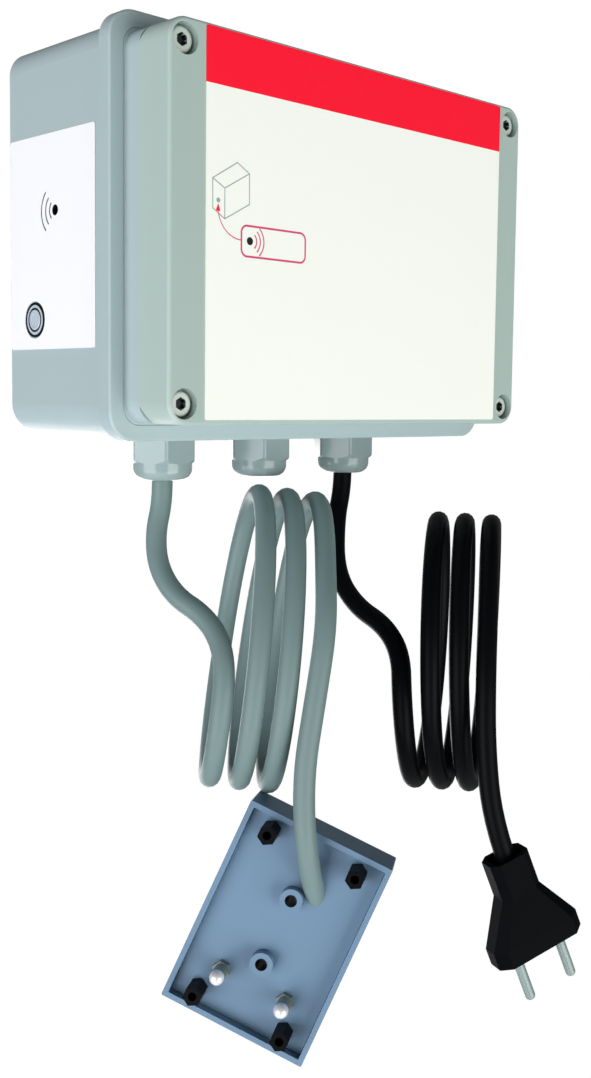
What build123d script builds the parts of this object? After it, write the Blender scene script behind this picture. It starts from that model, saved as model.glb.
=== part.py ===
from build123d import *
import os
from math import radians, tan

# Flood detection module: a control enclosure on a wall, with a floor sensor and a mains plug on
# cables that leave through glands in its underside.
# Millimetres, +Z up. The wall is the plane Y = 0, the front faces -Y, and the origin is the
# centre of the enclosure's back.

os.makedirs("parts", exist_ok=True)

# Enclosure: outline and levels in front of the wall
lid_width = 179.0
lid_height = 130.0
lid_corner = 7.2
lid_depth = 16.3
collar_depth = 7.9
collar_corner = 7.5
flange_depth = 6.1
flange_overhang = 6.1
flange_corner = 10.0
box_depth = 62.2
box_overhang = 3.65
box_corner = 9.3
box_back_edge = 1.2
flange_edge = 0.8
wall = 3.0
frame_wall = 5.0
lid_wall = 4.0
lid_front = 3.3
opening_corner = 28.0
lid_edge_radius = 1.2
frame_fit = 0.15
spigot_depth = 8.3
corner_relief = 6.25

# Lid screws and the pillars that take them
screw_inset_x = 6.4
screw_inset_z = 7.0
screw_diameter = 4.0
screw_length = 35.0
head_diameter = 8.6
head_height = 3.0
head_recess = 2.0
head_edge = 0.8
pocket_diameter = 10.2
socket_diameter = 4.0
socket_depth = 1.6
screw_clearance = 0.2
pillar_diameter = 11.0
pillar_rib = 2.0
thread_reserve = 3.0
bore_clearance = 0.05

# Seal between lid and frame
gasket_width = 2.2
gasket_depth = 1.6

# Wall fixings
fixing_inset_x = 18.15
fixing_inset_z = 18.65
fixing_hole = 4.8
fixing_boss = 10.0
fixing_boss_height = 3.0

# Labels
label_thickness = 0.3
label_width = 151.05
label_height = 127.3
label_shift_x = 0.675
label_shift_z = 0.4
label_corner = 1.0
side_label_back_gap = 1.5
side_label_front_gap = 5.7
side_label_height = 75.0
side_label_z = -2.0

# Glands
gland_side_gap = 42.15
gland_level = 32.5
gland_flats = 23.0
gland_thread = 18.6
gland_hole_clearance = 0.2
body_hex_height = 3.0
hex_edge_radius = 1.6
hex_chamfer = 1.5
hex_corner_share = 0.577
locknut_height = 4.0
thread_end = 2.0
clamp_diameter = 17.0
clamp_length = 8.0
gland_bore = 12.4
dome_clearance = 0.3
dome_hex_height = 8.85
dome_diameter = 22.6
dome_height = 6.6
dome_fillet = 4.5
dome_opening = 12.0
seal_length = 9.0
blank_head = 11.4
blank_head_height = 1.4

# Cables
cable_diameter = 8.0
cable_tail_inside = 6.0
core_diameter = 1.9
core_pitch = 2.6
core_bend_share = 0.5
sensor_core_shares = (-0.5, 0.5)
mains_core_shares = (-1.0, 0.0, 1.0)

# Acknowledge button
button_level = 17.8
button_z = -29.0
button_seal_diameter = 12.5
bezel_diameter = 10.7
bezel_rim = 0.4
bezel_edge = 0.15
bezel_barrel = 10.0
bezel_bore = 8.4
barrel_length = 13.0
button_travel = 1.5
cap_clearance = 0.4
cap_height = 5.0
cap_proud = 0.1
cap_edge = 0.4
cap_dish_diameter = 5.6
cap_dish = 0.2
stem_diameter = 3.6
stem_length = 12.0
button_nut_flats = 15.0
button_nut_height = 3.0
switch_size = 9.8
switch_edge = 0.8
switch_back = 2.0
switch_pin = 0.8
switch_pin_length = 3.5
switch_pin_pitch = 5.0

# Alarm buzzer behind its port
port_diameter = 3.4
port_level = 31.6
port_z = 8.7
buzzer_diameter = 16.0
buzzer_height = 8.5
buzzer_edge = 0.8
buzzer_seat_depth = 3.0
buzzer_seat_wall = 1.4
buzzer_chamber = 5.0
buzzer_chamber_depth = 3.5
buzzer_fit = 0.1

# Main board and what it carries
board_gap_z = 23.65
board_thickness = 1.6
terminal_to_screw = 4.5
board_corner = 2.0
board_inset = 5.0
standoff_diameter = 7.0
standoff_height = 8.0
board_screw = 3.0
board_screw_head = 5.6
board_screw_head_height = 2.2
board_screw_length = 7.0
board_screw_slot = 0.7
transformer_from_right = 27.0
transformer_from_top = 23.0
core_width = 40.0
core_height = 34.0
core_stack = 17.0
core_leg = 12.0
core_side = 6.0
core_lift = 3.0
bobbin_overhang = 6.0
bobbin_foot = 4.0
bobbin_clearance = 0.2
relay_x = -12.0
relay_lift = 32.0
relay_width = 15.0
relay_height = 28.0
relay_depth = 16.0
relay_edge = 1.0
fuse_from_right = 27.0
fuse_lift = 17.0
fuse_length = 20.0
fuse_diameter = 5.2
fuse_cap_length = 5.0
fuse_cap_step = 0.3
fuse_base_depth = 5.0
fuse_clip = 0.6
fuse_clip_width = 4.0
terminal_pitch = 5.0
terminal_depth = 13.0
terminal_height = 10.0
terminal_edge = 0.8
terminal_entry = 3.2
terminal_entry_depth = 7.0
terminal_screw = 3.4
terminal_screw_depth = 1.2
terminal_slot = 0.7
terminal_lift = 5.0
relay_poles = 3
capacitor_gap = 4.0
capacitor_from_top = 16.0
capacitor_diameter = 12.5
capacitor_height = 20.0
capacitor_groove = 0.5
chip_from_left = 27.0
chip_from_top = 28.0
chip_width = 9.4
chip_height = 6.4
chip_depth = 3.4
chip_stand = 0.6
chip_pitch = 2.54
chip_pins = 4
chip_leg = 1.4
chip_leg_width = 0.5
chip_notch = 0.8

# Sensor head, on the plane of its rim as it hangs
sensor_width = 58.0
sensor_height = 80.2
sensor_depth = 18.0
sensor_corner = 0.6
tray_corner = 0.4
sensor_rim = 2.0
sensor_back = 2.5
sensor_recess = 4.2
cover_thickness = 2.5
cover_fit = 0.1
cover_ledge = 1.6
boss_pitch = 26.14
boss_diameter = 8.7
boss_hole = 4.3
foot_pitch_x = 35.6
foot_pitch_y = 65.5
foot_y = -0.25
foot_flats = 6.4
foot_length = 10.0
foot_hole = 3.2
foot_hole_depth = 6.0
electrode_pitch = 26.3
electrode_x = 0.5
electrode_y = -22.8
electrode_dome = 5.5
electrode_rise = 5.0
electrode_stud = 3.0
electrode_nut_flats = 6.2
electrode_nut_height = 2.4
sensor_board_thickness = 1.6
sensor_board_margin = 4.0

# Mains plug, on the plane of its collar: a cuboid collar, a flare and a cuboid grip
plug_collar_width = 16.8
plug_collar_depth = 13.6
plug_collar_chamfer = 3.1
plug_collar_length = 14.3
plug_recess = 4.0
plug_recess_width = 12.8
plug_recess_depth = 10.2
plug_recess_corner = 3.4
plug_flare = 17.5
plug_grip = 7.1
plug_grip_width = 37.7
plug_grip_depth = 15.7
plug_grip_chamfer = 4.3
plug_edge = 0.7
pin_diameter = 4.0
pin_pitch = 19.0
pin_length = 18.4
pin_root_diameter = 3.2
pin_root = 0.3
pin_seat = 6.0
pin_tip_radius = 1.6

# Where the sensor head and the plug hang
sensor_place = (-35.9, -86.6, -252.2)
sensor_across = (0.541, -0.741, -0.397)
sensor_outward = (-0.777, -0.622, 0.102)
plug_place = (39.1, -133.25, -229.0)
plug_across = (0.862, -0.368, 0.348)
plug_along = (0.288, -0.21, -0.934)

# Coils: centre, drift for each turn, half height and half depth with their directions
coil_turns = 2.5
coil_first_turn = -0.5
bend_share = 0.45
sensor_coil_centre = (-20.93, -47.08, -147.58)
sensor_coil_drift = (8.63, -7.17, -1.35)
sensor_coil_half_height = 56.1
sensor_coil_half_depth = 40.35
sensor_coil_up = (0.322, 0.233, 0.918)
sensor_coil_axis = (0.81, -0.569, -0.14)
mains_coil_centre = (58.1, -78.95, -159.6)
mains_coil_drift = (7.46, -8.28, -0.42)
mains_coil_half_height = 53.8
mains_coil_half_depth = 40.1
mains_coil_up = (0.145, 0.105, 0.984)
mains_coil_axis = (0.571, -0.821, 0.004)

# Cable routes from the gland mouths to the coils, and from the coils to the sensor and the plug
sensor_upper_route = [
    (-48.0, -32.5, -87.4), (-48.0, -32.5, -95.9), (-51.3, -32.7, -107.3), (-53.6, -37.3, -119.8),
    (-52.8, -46.8, -129.9), (-49.1, -58.7, -135.5), (-48.4, -68.4, -143.6), (-50.6, -74.4, -155.0),
    (-53.1, -74.7, -171.1),
]
sensor_lower_route = [
    (-14.5, -88.3, -119.0), (-24.0, -99.0, -138.0), (-30.0, -100.0, -163.0),
    (-34.0, -98.0, -192.0), (-32.0, -98.5, -223.0), (-20.3, -91.7, -242.4),
]
mains_upper_route = [
    (48.0, -32.5, -87.4), (48.0, -32.5, -94.4), (44.0, -33.0, -108.0), (35.8, -41.6, -129.2),
    (31.6, -58.2, -141.4), (30.4, -76.3, -146.9), (26.9, -88.6, -156.1), (22.3, -93.8, -171.9),
    (24.5, -94.0, -190.4),
]
mains_lower_route = [
    (46.2, -116.8, -137.2), (38.0, -123.0, -160.0), (35.0, -126.0, -187.0),
    (35.08, -130.15, -215.19), (40.55, -134.14, -232.94),
]


# Levels and outlines that follow
flange_front = box_depth + flange_depth
collar_front = flange_front + collar_depth
lid_face = collar_front + lid_depth
box_width = lid_width + 2 * box_overhang
box_height = lid_height + 2 * box_overhang
box_inner_width = box_width - 2 * wall
box_inner_height = box_height - 2 * wall
box_inner_corner = box_corner - wall
opening_width = lid_width - 2 * frame_wall
opening_height = lid_height - 2 * frame_wall
screw_pitch_x = lid_width - 2 * screw_inset_x
screw_pitch_z = lid_height - 2 * screw_inset_z
pocket_level = lid_face - head_recess - head_height
pillar_top = flange_front - spigot_depth
underside = -box_height / 2
left_side = -box_width / 2
fixing_pitch_x = box_width - 2 * fixing_inset_x
fixing_pitch_z = box_height - 2 * fixing_inset_z
gland_pitch = box_inner_width / 2 - gland_side_gap
side_label_depth = box_depth - side_label_back_gap - side_label_front_gap
side_label_level = side_label_back_gap + side_label_depth / 2

# The board: its screws stand just outside the terminals, one terminal above each gland
outer_poles = len(mains_core_shares)
board_pitch_x = 2 * gland_pitch + outer_poles * terminal_pitch + 2 * terminal_to_screw
board_width = board_pitch_x + 2 * board_inset
board_height = box_inner_height - 2 * board_gap_z
board_pitch_z = board_height - 2 * board_inset
board_right = board_width / 2
board_top = board_height / 2
board_foot = -board_height / 2


def level(distance):
    """A work plane parallel to the wall, the given distance in front of it."""
    return Plane.XZ.offset(distance)


def below(height, x=0):
    """A work plane that looks down at the given height, with its origin on a gland's axis."""
    return Plane(origin=(x, -gland_level, height), x_dir=(1, 0, 0), z_dir=(0, 0, -1))


def from_left(x, distance, z):
    """A work plane on the left side that looks along +X, into the box."""
    return Plane(origin=(x, -distance, z), x_dir=(0, 1, 0), z_dir=(1, 0, 0))


def save(piece, node):
    """Label a finished piece and write it under its node's name."""
    piece.part.label = node
    export_step(piece.part, f"parts/{node}.step")


# Rear box: the deep moulding on the wall, with its flange, pillars, standoffs and bosses
with BuildPart() as rear_box:
    with BuildSketch(level(0)):
        RectangleRounded(box_width, box_height, box_corner)
    extrude(amount=box_depth)
    fillet(rear_box.faces().sort_by(Axis.Y)[-1].edges(), box_back_edge)
    with BuildSketch(level(box_depth)):
        RectangleRounded(lid_width + 2 * flange_overhang, lid_height + 2 * flange_overhang,
                         flange_corner)
    extrude(amount=flange_depth)
    fillet(rear_box.faces().sort_by(Axis.Y)[0].edges(), flange_edge)
    with BuildSketch(level(wall)):
        RectangleRounded(box_inner_width, box_inner_height, box_inner_corner)
    extrude(amount=flange_front - wall, mode=Mode.SUBTRACT)

    # Pillars under the lid screws, each tied to both walls by a rib
    with BuildSketch(level(wall)):
        with GridLocations(screw_pitch_x, screw_pitch_z, 2, 2):
            Circle(pillar_diameter / 2)
        with GridLocations(box_inner_width - pillar_diameter, screw_pitch_z, 2, 2):
            Rectangle(pillar_diameter, pillar_rib)
        with GridLocations(screw_pitch_x, box_inner_height - pillar_diameter, 2, 2):
            Rectangle(pillar_rib, pillar_diameter)
    extrude(amount=pillar_top - wall)
    with BuildSketch(level(pillar_top)):
        with GridLocations(screw_pitch_x, screw_pitch_z, 2, 2):
            Circle(screw_diameter / 2 + bore_clearance)
    extrude(amount=-(screw_length - (pocket_level - pillar_top) + thread_reserve),
            mode=Mode.SUBTRACT)

    # Standoffs for the board, and bosses round the wall fixings
    with BuildSketch(level(wall)):
        with GridLocations(board_pitch_x, board_pitch_z, 2, 2):
            Circle(standoff_diameter / 2)
    extrude(amount=standoff_height)
    with BuildSketch(level(wall)):
        with GridLocations(fixing_pitch_x, fixing_pitch_z, 2, 2):
            Circle(fixing_boss / 2)
    extrude(amount=fixing_boss_height)
    with BuildSketch(level(wall + standoff_height)):
        with GridLocations(board_pitch_x, board_pitch_z, 2, 2):
            Circle(board_screw / 2 + bore_clearance)
    extrude(amount=-board_screw_length, mode=Mode.SUBTRACT)
    with BuildSketch(level(0)):
        with GridLocations(fixing_pitch_x, fixing_pitch_z, 2, 2):
            Circle(fixing_hole / 2)
    extrude(amount=wall + fixing_boss_height, mode=Mode.SUBTRACT)

    # Gland holes through the underside
    with BuildSketch(below(underside + wall)):
        with GridLocations(gland_pitch, gland_pitch, 3, 1):
            Circle(gland_thread / 2 + gland_hole_clearance)
    extrude(amount=wall, mode=Mode.SUBTRACT)

    # Left side: the buzzer's seat and port, and the button's hole
    with BuildSketch(from_left(left_side + wall, port_level, port_z)):
        Circle(buzzer_diameter / 2 + buzzer_fit + buzzer_seat_wall)
        Circle(buzzer_diameter / 2 + buzzer_fit, mode=Mode.SUBTRACT)
    extrude(amount=buzzer_seat_depth)
    with BuildSketch(from_left(left_side, port_level, port_z)):
        Circle(port_diameter / 2)
    extrude(amount=wall, mode=Mode.SUBTRACT)
    with BuildSketch(from_left(left_side, button_level, button_z)):
        Circle(bezel_barrel / 2 + cap_clearance)
    extrude(amount=wall, mode=Mode.SUBTRACT)
save(rear_box, "rear_box")

# Front frame: its spigot sits in the box, its corners rest on the pillars, and its collar
# carries the gasket
with BuildPart() as front_frame:
    with BuildSketch(level(pillar_top)):
        RectangleRounded(box_inner_width - 2 * frame_fit, box_inner_height - 2 * frame_fit,
                         box_inner_corner - frame_fit)
    extrude(amount=spigot_depth)
    with BuildSketch(level(flange_front)):
        RectangleRounded(lid_width, lid_height, collar_corner)
    extrude(amount=collar_depth)
    with BuildSketch(level(pillar_top)):
        RectangleRounded(opening_width, opening_height, opening_corner)
        with GridLocations(screw_pitch_x, screw_pitch_z, 2, 2):
            Circle(screw_diameter / 2 + screw_clearance)
    extrude(amount=spigot_depth + collar_depth, mode=Mode.SUBTRACT)
    with BuildSketch(level(collar_front)):
        RectangleRounded(opening_width + frame_wall + gasket_width,
                         opening_height + frame_wall + gasket_width,
                         opening_corner + (frame_wall + gasket_width) / 2)
        RectangleRounded(opening_width + frame_wall - gasket_width,
                         opening_height + frame_wall - gasket_width,
                         opening_corner + (frame_wall - gasket_width) / 2, mode=Mode.SUBTRACT)
    extrude(amount=-gasket_depth, mode=Mode.SUBTRACT)
save(front_frame, "front_frame")

# Lid gasket: fills the groove, flush with the collar
with BuildPart() as lid_gasket:
    with BuildSketch(level(collar_front)):
        RectangleRounded(opening_width + frame_wall + gasket_width,
                         opening_height + frame_wall + gasket_width,
                         opening_corner + (frame_wall + gasket_width) / 2)
        RectangleRounded(opening_width + frame_wall - gasket_width,
                         opening_height + frame_wall - gasket_width,
                         opening_corner + (frame_wall - gasket_width) / 2, mode=Mode.SUBTRACT)
    extrude(amount=-gasket_depth)
save(lid_gasket, "lid_gasket")

# Lid: hollow behind, solid round its four screws, with each rear corner cut away for a lever
with BuildPart() as lid:
    with BuildSketch(level(collar_front)):
        RectangleRounded(lid_width, lid_height, lid_corner)
    extrude(amount=lid_depth)
    fillet(lid.faces().sort_by(Axis.Y)[0].edges(), lid_edge_radius)
    with BuildSketch(level(collar_front)):
        RectangleRounded(lid_width - 2 * lid_wall, lid_height - 2 * lid_wall, opening_corner)
        with GridLocations(screw_pitch_x, screw_pitch_z, 2, 2):
            Circle(screw_diameter / 2 + screw_clearance)
    extrude(amount=lid_depth - lid_front, mode=Mode.SUBTRACT)
    with BuildSketch(level(pocket_level)):
        with GridLocations(screw_pitch_x, screw_pitch_z, 2, 2):
            Circle(pocket_diameter / 2)
    extrude(amount=lid_face - pocket_level, mode=Mode.SUBTRACT)
    for side in (-1, 1):
        for end in (-1, 1):
            relief = Plane(
                origin=(side * (lid_width / 2 - corner_relief / 3),
                        -collar_front - corner_relief / 3,
                        end * (lid_height / 2 - corner_relief / 3)),
                z_dir=(side, 1, end),
            )
            with BuildSketch(relief):
                Rectangle(3 * corner_relief, 3 * corner_relief)
            extrude(amount=corner_relief, mode=Mode.SUBTRACT)
save(lid, "lid")

# Lid screws: four pan heads with six-lobe sockets
with BuildPart() as lid_screws:
    with BuildSketch(level(pocket_level)):
        with GridLocations(screw_pitch_x, screw_pitch_z, 2, 2):
            Circle(head_diameter / 2)
    extrude(amount=head_height)
    fillet(lid_screws.faces().filter_by(Plane.XZ).group_by(Axis.Y)[0].edges(), head_edge)
    with BuildSketch(level(pocket_level)):
        with GridLocations(screw_pitch_x, screw_pitch_z, 2, 2):
            Circle(screw_diameter / 2)
    extrude(amount=-screw_length)
    with BuildSketch(level(pocket_level + head_height)):
        with GridLocations(screw_pitch_x, screw_pitch_z, 2, 2):
            Circle(socket_diameter / 3)
            with PolarLocations(socket_diameter / 3, 6):
                Circle(socket_diameter / 6)
    extrude(amount=-socket_depth, mode=Mode.SUBTRACT)
save(lid_screws, "lid_screws")

# Front label: a thin sheet on the lid
with BuildPart() as front_label:
    with BuildSketch(level(lid_face)):
        with Locations((label_shift_x, label_shift_z)):
            RectangleRounded(label_width, label_height, label_corner)
        with GridLocations(screw_pitch_x, screw_pitch_z, 2, 2):
            Circle(pocket_diameter / 2, mode=Mode.SUBTRACT)
    extrude(amount=label_thickness)
save(front_label, "front_label")

# Side label: holed over the port and round the button
with BuildPart() as side_label:
    with BuildSketch(from_left(left_side, side_label_level, side_label_z)):
        RectangleRounded(side_label_depth, side_label_height, label_corner)
        with Locations((side_label_level - port_level, port_z - side_label_z)):
            Circle(port_diameter / 2, mode=Mode.SUBTRACT)
        with Locations((side_label_level - button_level, button_z - side_label_z)):
            Circle(button_seal_diameter / 2 + cap_clearance, mode=Mode.SUBTRACT)
    extrude(amount=-label_thickness)
save(side_label, "side_label")

# Glands: body through the wall, locknut inside, dome nut below, and the seal that it squeezes
gland_names = ["sensor_gland", "spare_gland", "mains_gland"]
body_bottom = underside - body_hex_height
dome_top = body_bottom - dome_clearance
dome_bottom = dome_top - dome_hex_height - dome_height
clamp_bottom = body_bottom - clamp_length
seal_bore = cable_diameter

for index, gland_name in enumerate(gland_names):
    gland_x = (index - 1) * gland_pitch

    with BuildPart() as gland_body:
        with BuildSketch(below(underside, gland_x)):
            RegularPolygon(gland_flats / 2, 6, major_radius=False)
            fillet(vertices(), hex_edge_radius)
        extrude(amount=body_hex_height)
        with BuildSketch(below(underside, gland_x)):
            Circle(gland_thread / 2)
        extrude(amount=-(wall + locknut_height + thread_end))
        with BuildSketch(below(body_bottom, gland_x)):
            Circle(clamp_diameter / 2)
        extrude(amount=clamp_length)
        with BuildSketch(below(clamp_bottom, gland_x)):
            Circle(gland_bore / 2)
        extrude(amount=-(clamp_length + body_hex_height + wall + locknut_height + thread_end),
                mode=Mode.SUBTRACT)
    save(gland_body, f"{gland_name}_body")

    with BuildPart() as locknut:
        with BuildSketch(below(underside + wall, gland_x)):
            RegularPolygon(gland_flats / 2, 6, major_radius=False)
            Circle(gland_thread / 2, mode=Mode.SUBTRACT)
        extrude(amount=-locknut_height)
    save(locknut, f"{gland_name}_locknut")

    with BuildPart() as seal:
        with BuildSketch(below(clamp_bottom, gland_x)):
            Circle(gland_bore / 2)
            Circle(seal_bore / 2, mode=Mode.SUBTRACT)
        extrude(amount=-seal_length)
    save(seal, f"{gland_name}_seal")

    with BuildPart() as dome_nut:
        with BuildSketch(below(dome_top, gland_x)):
            Circle(gland_flats * hex_corner_share)
        extrude(amount=dome_hex_height)
        chamfer(dome_nut.faces().sort_by(Axis.Z)[0].edges(), hex_chamfer)
        with BuildSketch(below(dome_top, gland_x)):
            RegularPolygon(gland_flats / 2, 6, major_radius=False)
            fillet(vertices(), hex_edge_radius)
        extrude(amount=dome_hex_height, mode=Mode.INTERSECT)
        with BuildSketch(below(dome_bottom + dome_height, gland_x)):
            Circle(dome_diameter / 2)
        extrude(amount=dome_height)
        fillet(dome_nut.faces().sort_by(Axis.Z)[0].edges(), dome_fillet)
        with BuildSketch(below(dome_top, gland_x)):
            Circle(clamp_diameter / 2)
        extrude(amount=dome_top - clamp_bottom, mode=Mode.SUBTRACT)
        with BuildSketch(below(clamp_bottom, gland_x)):
            Circle(dome_opening / 2)
        extrude(amount=clamp_bottom - dome_bottom, mode=Mode.SUBTRACT)
    save(dome_nut, f"{gland_name}_dome_nut")

# Blanking plug of the spare gland
with BuildPart() as blank_plug:
    with BuildSketch(below(clamp_bottom)):
        Circle(blank_head / 2)
    extrude(amount=blank_head_height)
    with BuildSketch(below(clamp_bottom)):
        Circle(seal_bore / 2)
    extrude(amount=-seal_length)
save(blank_plug, "spare_gland_plug")

# Acknowledge button: bezel through the wall with a seal round its rim, nut inside, cap in the
# bezel, and the switch behind it
barrel_end = left_side + barrel_length
cap_diameter = bezel_bore - 2 * cap_clearance
rim_face = left_side - bezel_rim
cap_face = rim_face - cap_proud

with BuildPart() as button_seal:
    with BuildSketch(from_left(rim_face, button_level, button_z)):
        Circle(button_seal_diameter / 2)
        Circle(bezel_diameter / 2, mode=Mode.SUBTRACT)
    extrude(amount=bezel_rim)
save(button_seal, "button_seal")

with BuildPart() as button_bezel:
    with BuildSketch(from_left(rim_face, button_level, button_z)):
        Circle(bezel_diameter / 2)
    extrude(amount=bezel_rim)
    fillet(button_bezel.faces().sort_by(Axis.X)[0].edges(), bezel_edge)
    with BuildSketch(from_left(left_side, button_level, button_z)):
        Circle(bezel_barrel / 2)
    extrude(amount=barrel_length)
    with BuildSketch(from_left(rim_face, button_level, button_z)):
        Circle(bezel_bore / 2)
    extrude(amount=barrel_end - rim_face, mode=Mode.SUBTRACT)
save(button_bezel, "button_bezel")

with BuildPart() as button_cap:
    with BuildSketch(from_left(cap_face, button_level, button_z)):
        Circle(cap_diameter / 2)
    extrude(amount=cap_height)
    fillet(button_cap.faces().sort_by(Axis.X)[0].edges(), cap_edge)
    with BuildSketch(from_left(cap_face, button_level, button_z)):
        Circle(cap_dish_diameter / 2)
    extrude(amount=cap_dish, mode=Mode.SUBTRACT)
    with BuildSketch(from_left(cap_face + cap_height, button_level, button_z)):
        Circle(stem_diameter / 2)
    extrude(amount=stem_length)
save(button_cap, "button_cap")

with BuildPart() as button_nut:
    with BuildSketch(from_left(left_side + wall, button_level, button_z)):
        RegularPolygon(button_nut_flats / 2, 6, major_radius=False)
        Circle(bezel_barrel / 2, mode=Mode.SUBTRACT)
    extrude(amount=button_nut_height)
save(button_nut, "button_nut")

stem_end = cap_face + cap_height + stem_length
with BuildPart() as button_switch:
    with BuildSketch(from_left(barrel_end, button_level, button_z)):
        RectangleRounded(switch_size, switch_size, switch_edge)
        Circle(stem_diameter / 2 + cap_clearance, mode=Mode.SUBTRACT)
    extrude(amount=stem_end + 2 * button_travel - barrel_end)
    with BuildSketch(from_left(stem_end + 2 * button_travel, button_level, button_z)):
        RectangleRounded(switch_size, switch_size, switch_edge)
    extrude(amount=switch_back)
    with BuildSketch(from_left(stem_end + 2 * button_travel + switch_back, button_level,
                               button_z)):
        with GridLocations(switch_pin_pitch, switch_pin_pitch, 1, 2):
            Rectangle(switch_pin, switch_pin)
    extrude(amount=switch_pin_length)
save(button_switch, "button_switch")

# Alarm buzzer: its chamber opens on the port
with BuildPart() as alarm_buzzer:
    with BuildSketch(from_left(left_side + wall, port_level, port_z)):
        Circle(buzzer_diameter / 2)
    extrude(amount=buzzer_height)
    fillet(alarm_buzzer.faces().sort_by(Axis.X)[-1].edges(), buzzer_edge)
    with BuildSketch(from_left(left_side + wall, port_level, port_z)):
        Circle(buzzer_chamber / 2)
    extrude(amount=buzzer_chamber_depth, mode=Mode.SUBTRACT)
save(alarm_buzzer, "alarm_buzzer")

# Main board on its standoffs
board_back = wall + standoff_height
board_front = board_back + board_thickness

with BuildPart() as main_board:
    with BuildSketch(level(board_back)):
        RectangleRounded(board_width, board_height, board_corner)
        with GridLocations(board_pitch_x, board_pitch_z, 2, 2):
            Circle(board_screw / 2 + bore_clearance, mode=Mode.SUBTRACT)
    extrude(amount=board_thickness)
save(main_board, "main_board")

with BuildPart() as board_screws:
    with BuildSketch(level(board_front)):
        with GridLocations(board_pitch_x, board_pitch_z, 2, 2):
            Circle(board_screw_head / 2)
    extrude(amount=board_screw_head_height)
    with BuildSketch(level(board_front)):
        with GridLocations(board_pitch_x, board_pitch_z, 2, 2):
            Circle(board_screw / 2)
    extrude(amount=-board_screw_length)
    with BuildSketch(level(board_front + board_screw_head_height)):
        with GridLocations(board_pitch_x, board_pitch_z, 2, 2):
            Rectangle(board_screw, board_screw_slot)
            Rectangle(board_screw_slot, board_screw)
    extrude(amount=-board_screw_head_height / 2, mode=Mode.SUBTRACT)
save(board_screws, "board_screws")

# Transformer: a laminated core whose middle leg stands through the wound bobbin
transformer_x = board_right - transformer_from_right
transformer_z = board_top - transformer_from_top
core_bottom = board_front + core_lift
window_width = (core_width - 2 * core_side - core_leg) / 2
window_height = core_height - 2 * core_side

with BuildPart() as transformer_core:
    with BuildSketch(Plane.XY.offset(transformer_z - core_stack / 2)):
        with Locations((transformer_x, -core_bottom - core_height / 2)):
            Rectangle(core_width, core_height)
            with GridLocations(core_leg + window_width, window_height, 2, 1):
                Rectangle(window_width, window_height, mode=Mode.SUBTRACT)
    extrude(amount=core_stack)
save(transformer_core, "transformer_core")

bobbin_width = core_leg + 2 * window_width - 2 * bobbin_clearance
bobbin_length = core_stack + 2 * bobbin_overhang
with BuildPart() as transformer_bobbin:
    with BuildSketch(level(core_bottom + core_side)):
        with Locations((transformer_x, transformer_z)):
            Rectangle(bobbin_width, bobbin_length)
            Rectangle(core_leg + 2 * bobbin_clearance, core_stack + 2 * bobbin_clearance,
                      mode=Mode.SUBTRACT)
    extrude(amount=window_height - bobbin_clearance)
    with BuildSketch(level(board_front)):
        with Locations((transformer_x, transformer_z)):
            with GridLocations(bobbin_width, bobbin_length - bobbin_foot, 1, 2):
                Rectangle(bobbin_width, bobbin_foot)
    extrude(amount=core_lift + core_side)
save(transformer_bobbin, "transformer_bobbin")

with BuildPart() as alarm_relay:
    with BuildSketch(level(board_front)):
        with Locations((relay_x, board_foot + relay_lift)):
            RectangleRounded(relay_width, relay_height, relay_edge)
    extrude(amount=relay_depth)
    fillet(alarm_relay.faces().sort_by(Axis.Y)[0].edges(), relay_edge / 2)
save(alarm_relay, "alarm_relay")

# Fuse: a base on the board, two sprung clips, and the glass tube with its end caps
fuse_level = board_front + fuse_base_depth + fuse_clip + fuse_diameter / 2
fuse_x = board_right - fuse_from_right
fuse_z = board_foot + fuse_lift
with BuildPart() as fuse_base:
    with BuildSketch(level(board_front)):
        with Locations((fuse_x, fuse_z)):
            Rectangle(fuse_length + fuse_clip_width, fuse_diameter + fuse_clip_width)
    extrude(amount=fuse_base_depth)
save(fuse_base, "fuse_base")

with BuildPart() as fuse_clips:
    for side in (-1, 1):
        clip_x = fuse_x + side * (fuse_length - fuse_clip_width) / 2 - fuse_clip_width / 2
        clip_plane = Plane(origin=(clip_x, -fuse_level, fuse_z), x_dir=(0, 1, 0), z_dir=(1, 0, 0))
        with BuildSketch(clip_plane):
            Circle(fuse_diameter / 2 + fuse_clip)
            Circle(fuse_diameter / 2, mode=Mode.SUBTRACT)
            with Locations((-fuse_diameter / 2 - fuse_clip, 0)):
                Rectangle(fuse_diameter, fuse_diameter, mode=Mode.SUBTRACT)
        extrude(amount=fuse_clip_width)
save(fuse_clips, "fuse_clips")

with BuildPart() as fuse:
    with BuildSketch(Plane(origin=(fuse_x - fuse_length / 2, -fuse_level, fuse_z),
                           x_dir=(0, 1, 0), z_dir=(1, 0, 0))):
        Circle(fuse_diameter / 2)
    extrude(amount=fuse_length)
    with BuildSketch(Plane(origin=(fuse_x - fuse_length / 2 + fuse_cap_length, -fuse_level, fuse_z),
                           x_dir=(0, 1, 0), z_dir=(1, 0, 0))):
        Circle(fuse_diameter / 2)
        Circle(fuse_diameter / 2 - fuse_cap_step, mode=Mode.SUBTRACT)
    extrude(amount=fuse_length - 2 * fuse_cap_length, mode=Mode.SUBTRACT)
save(fuse, "fuse")

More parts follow.
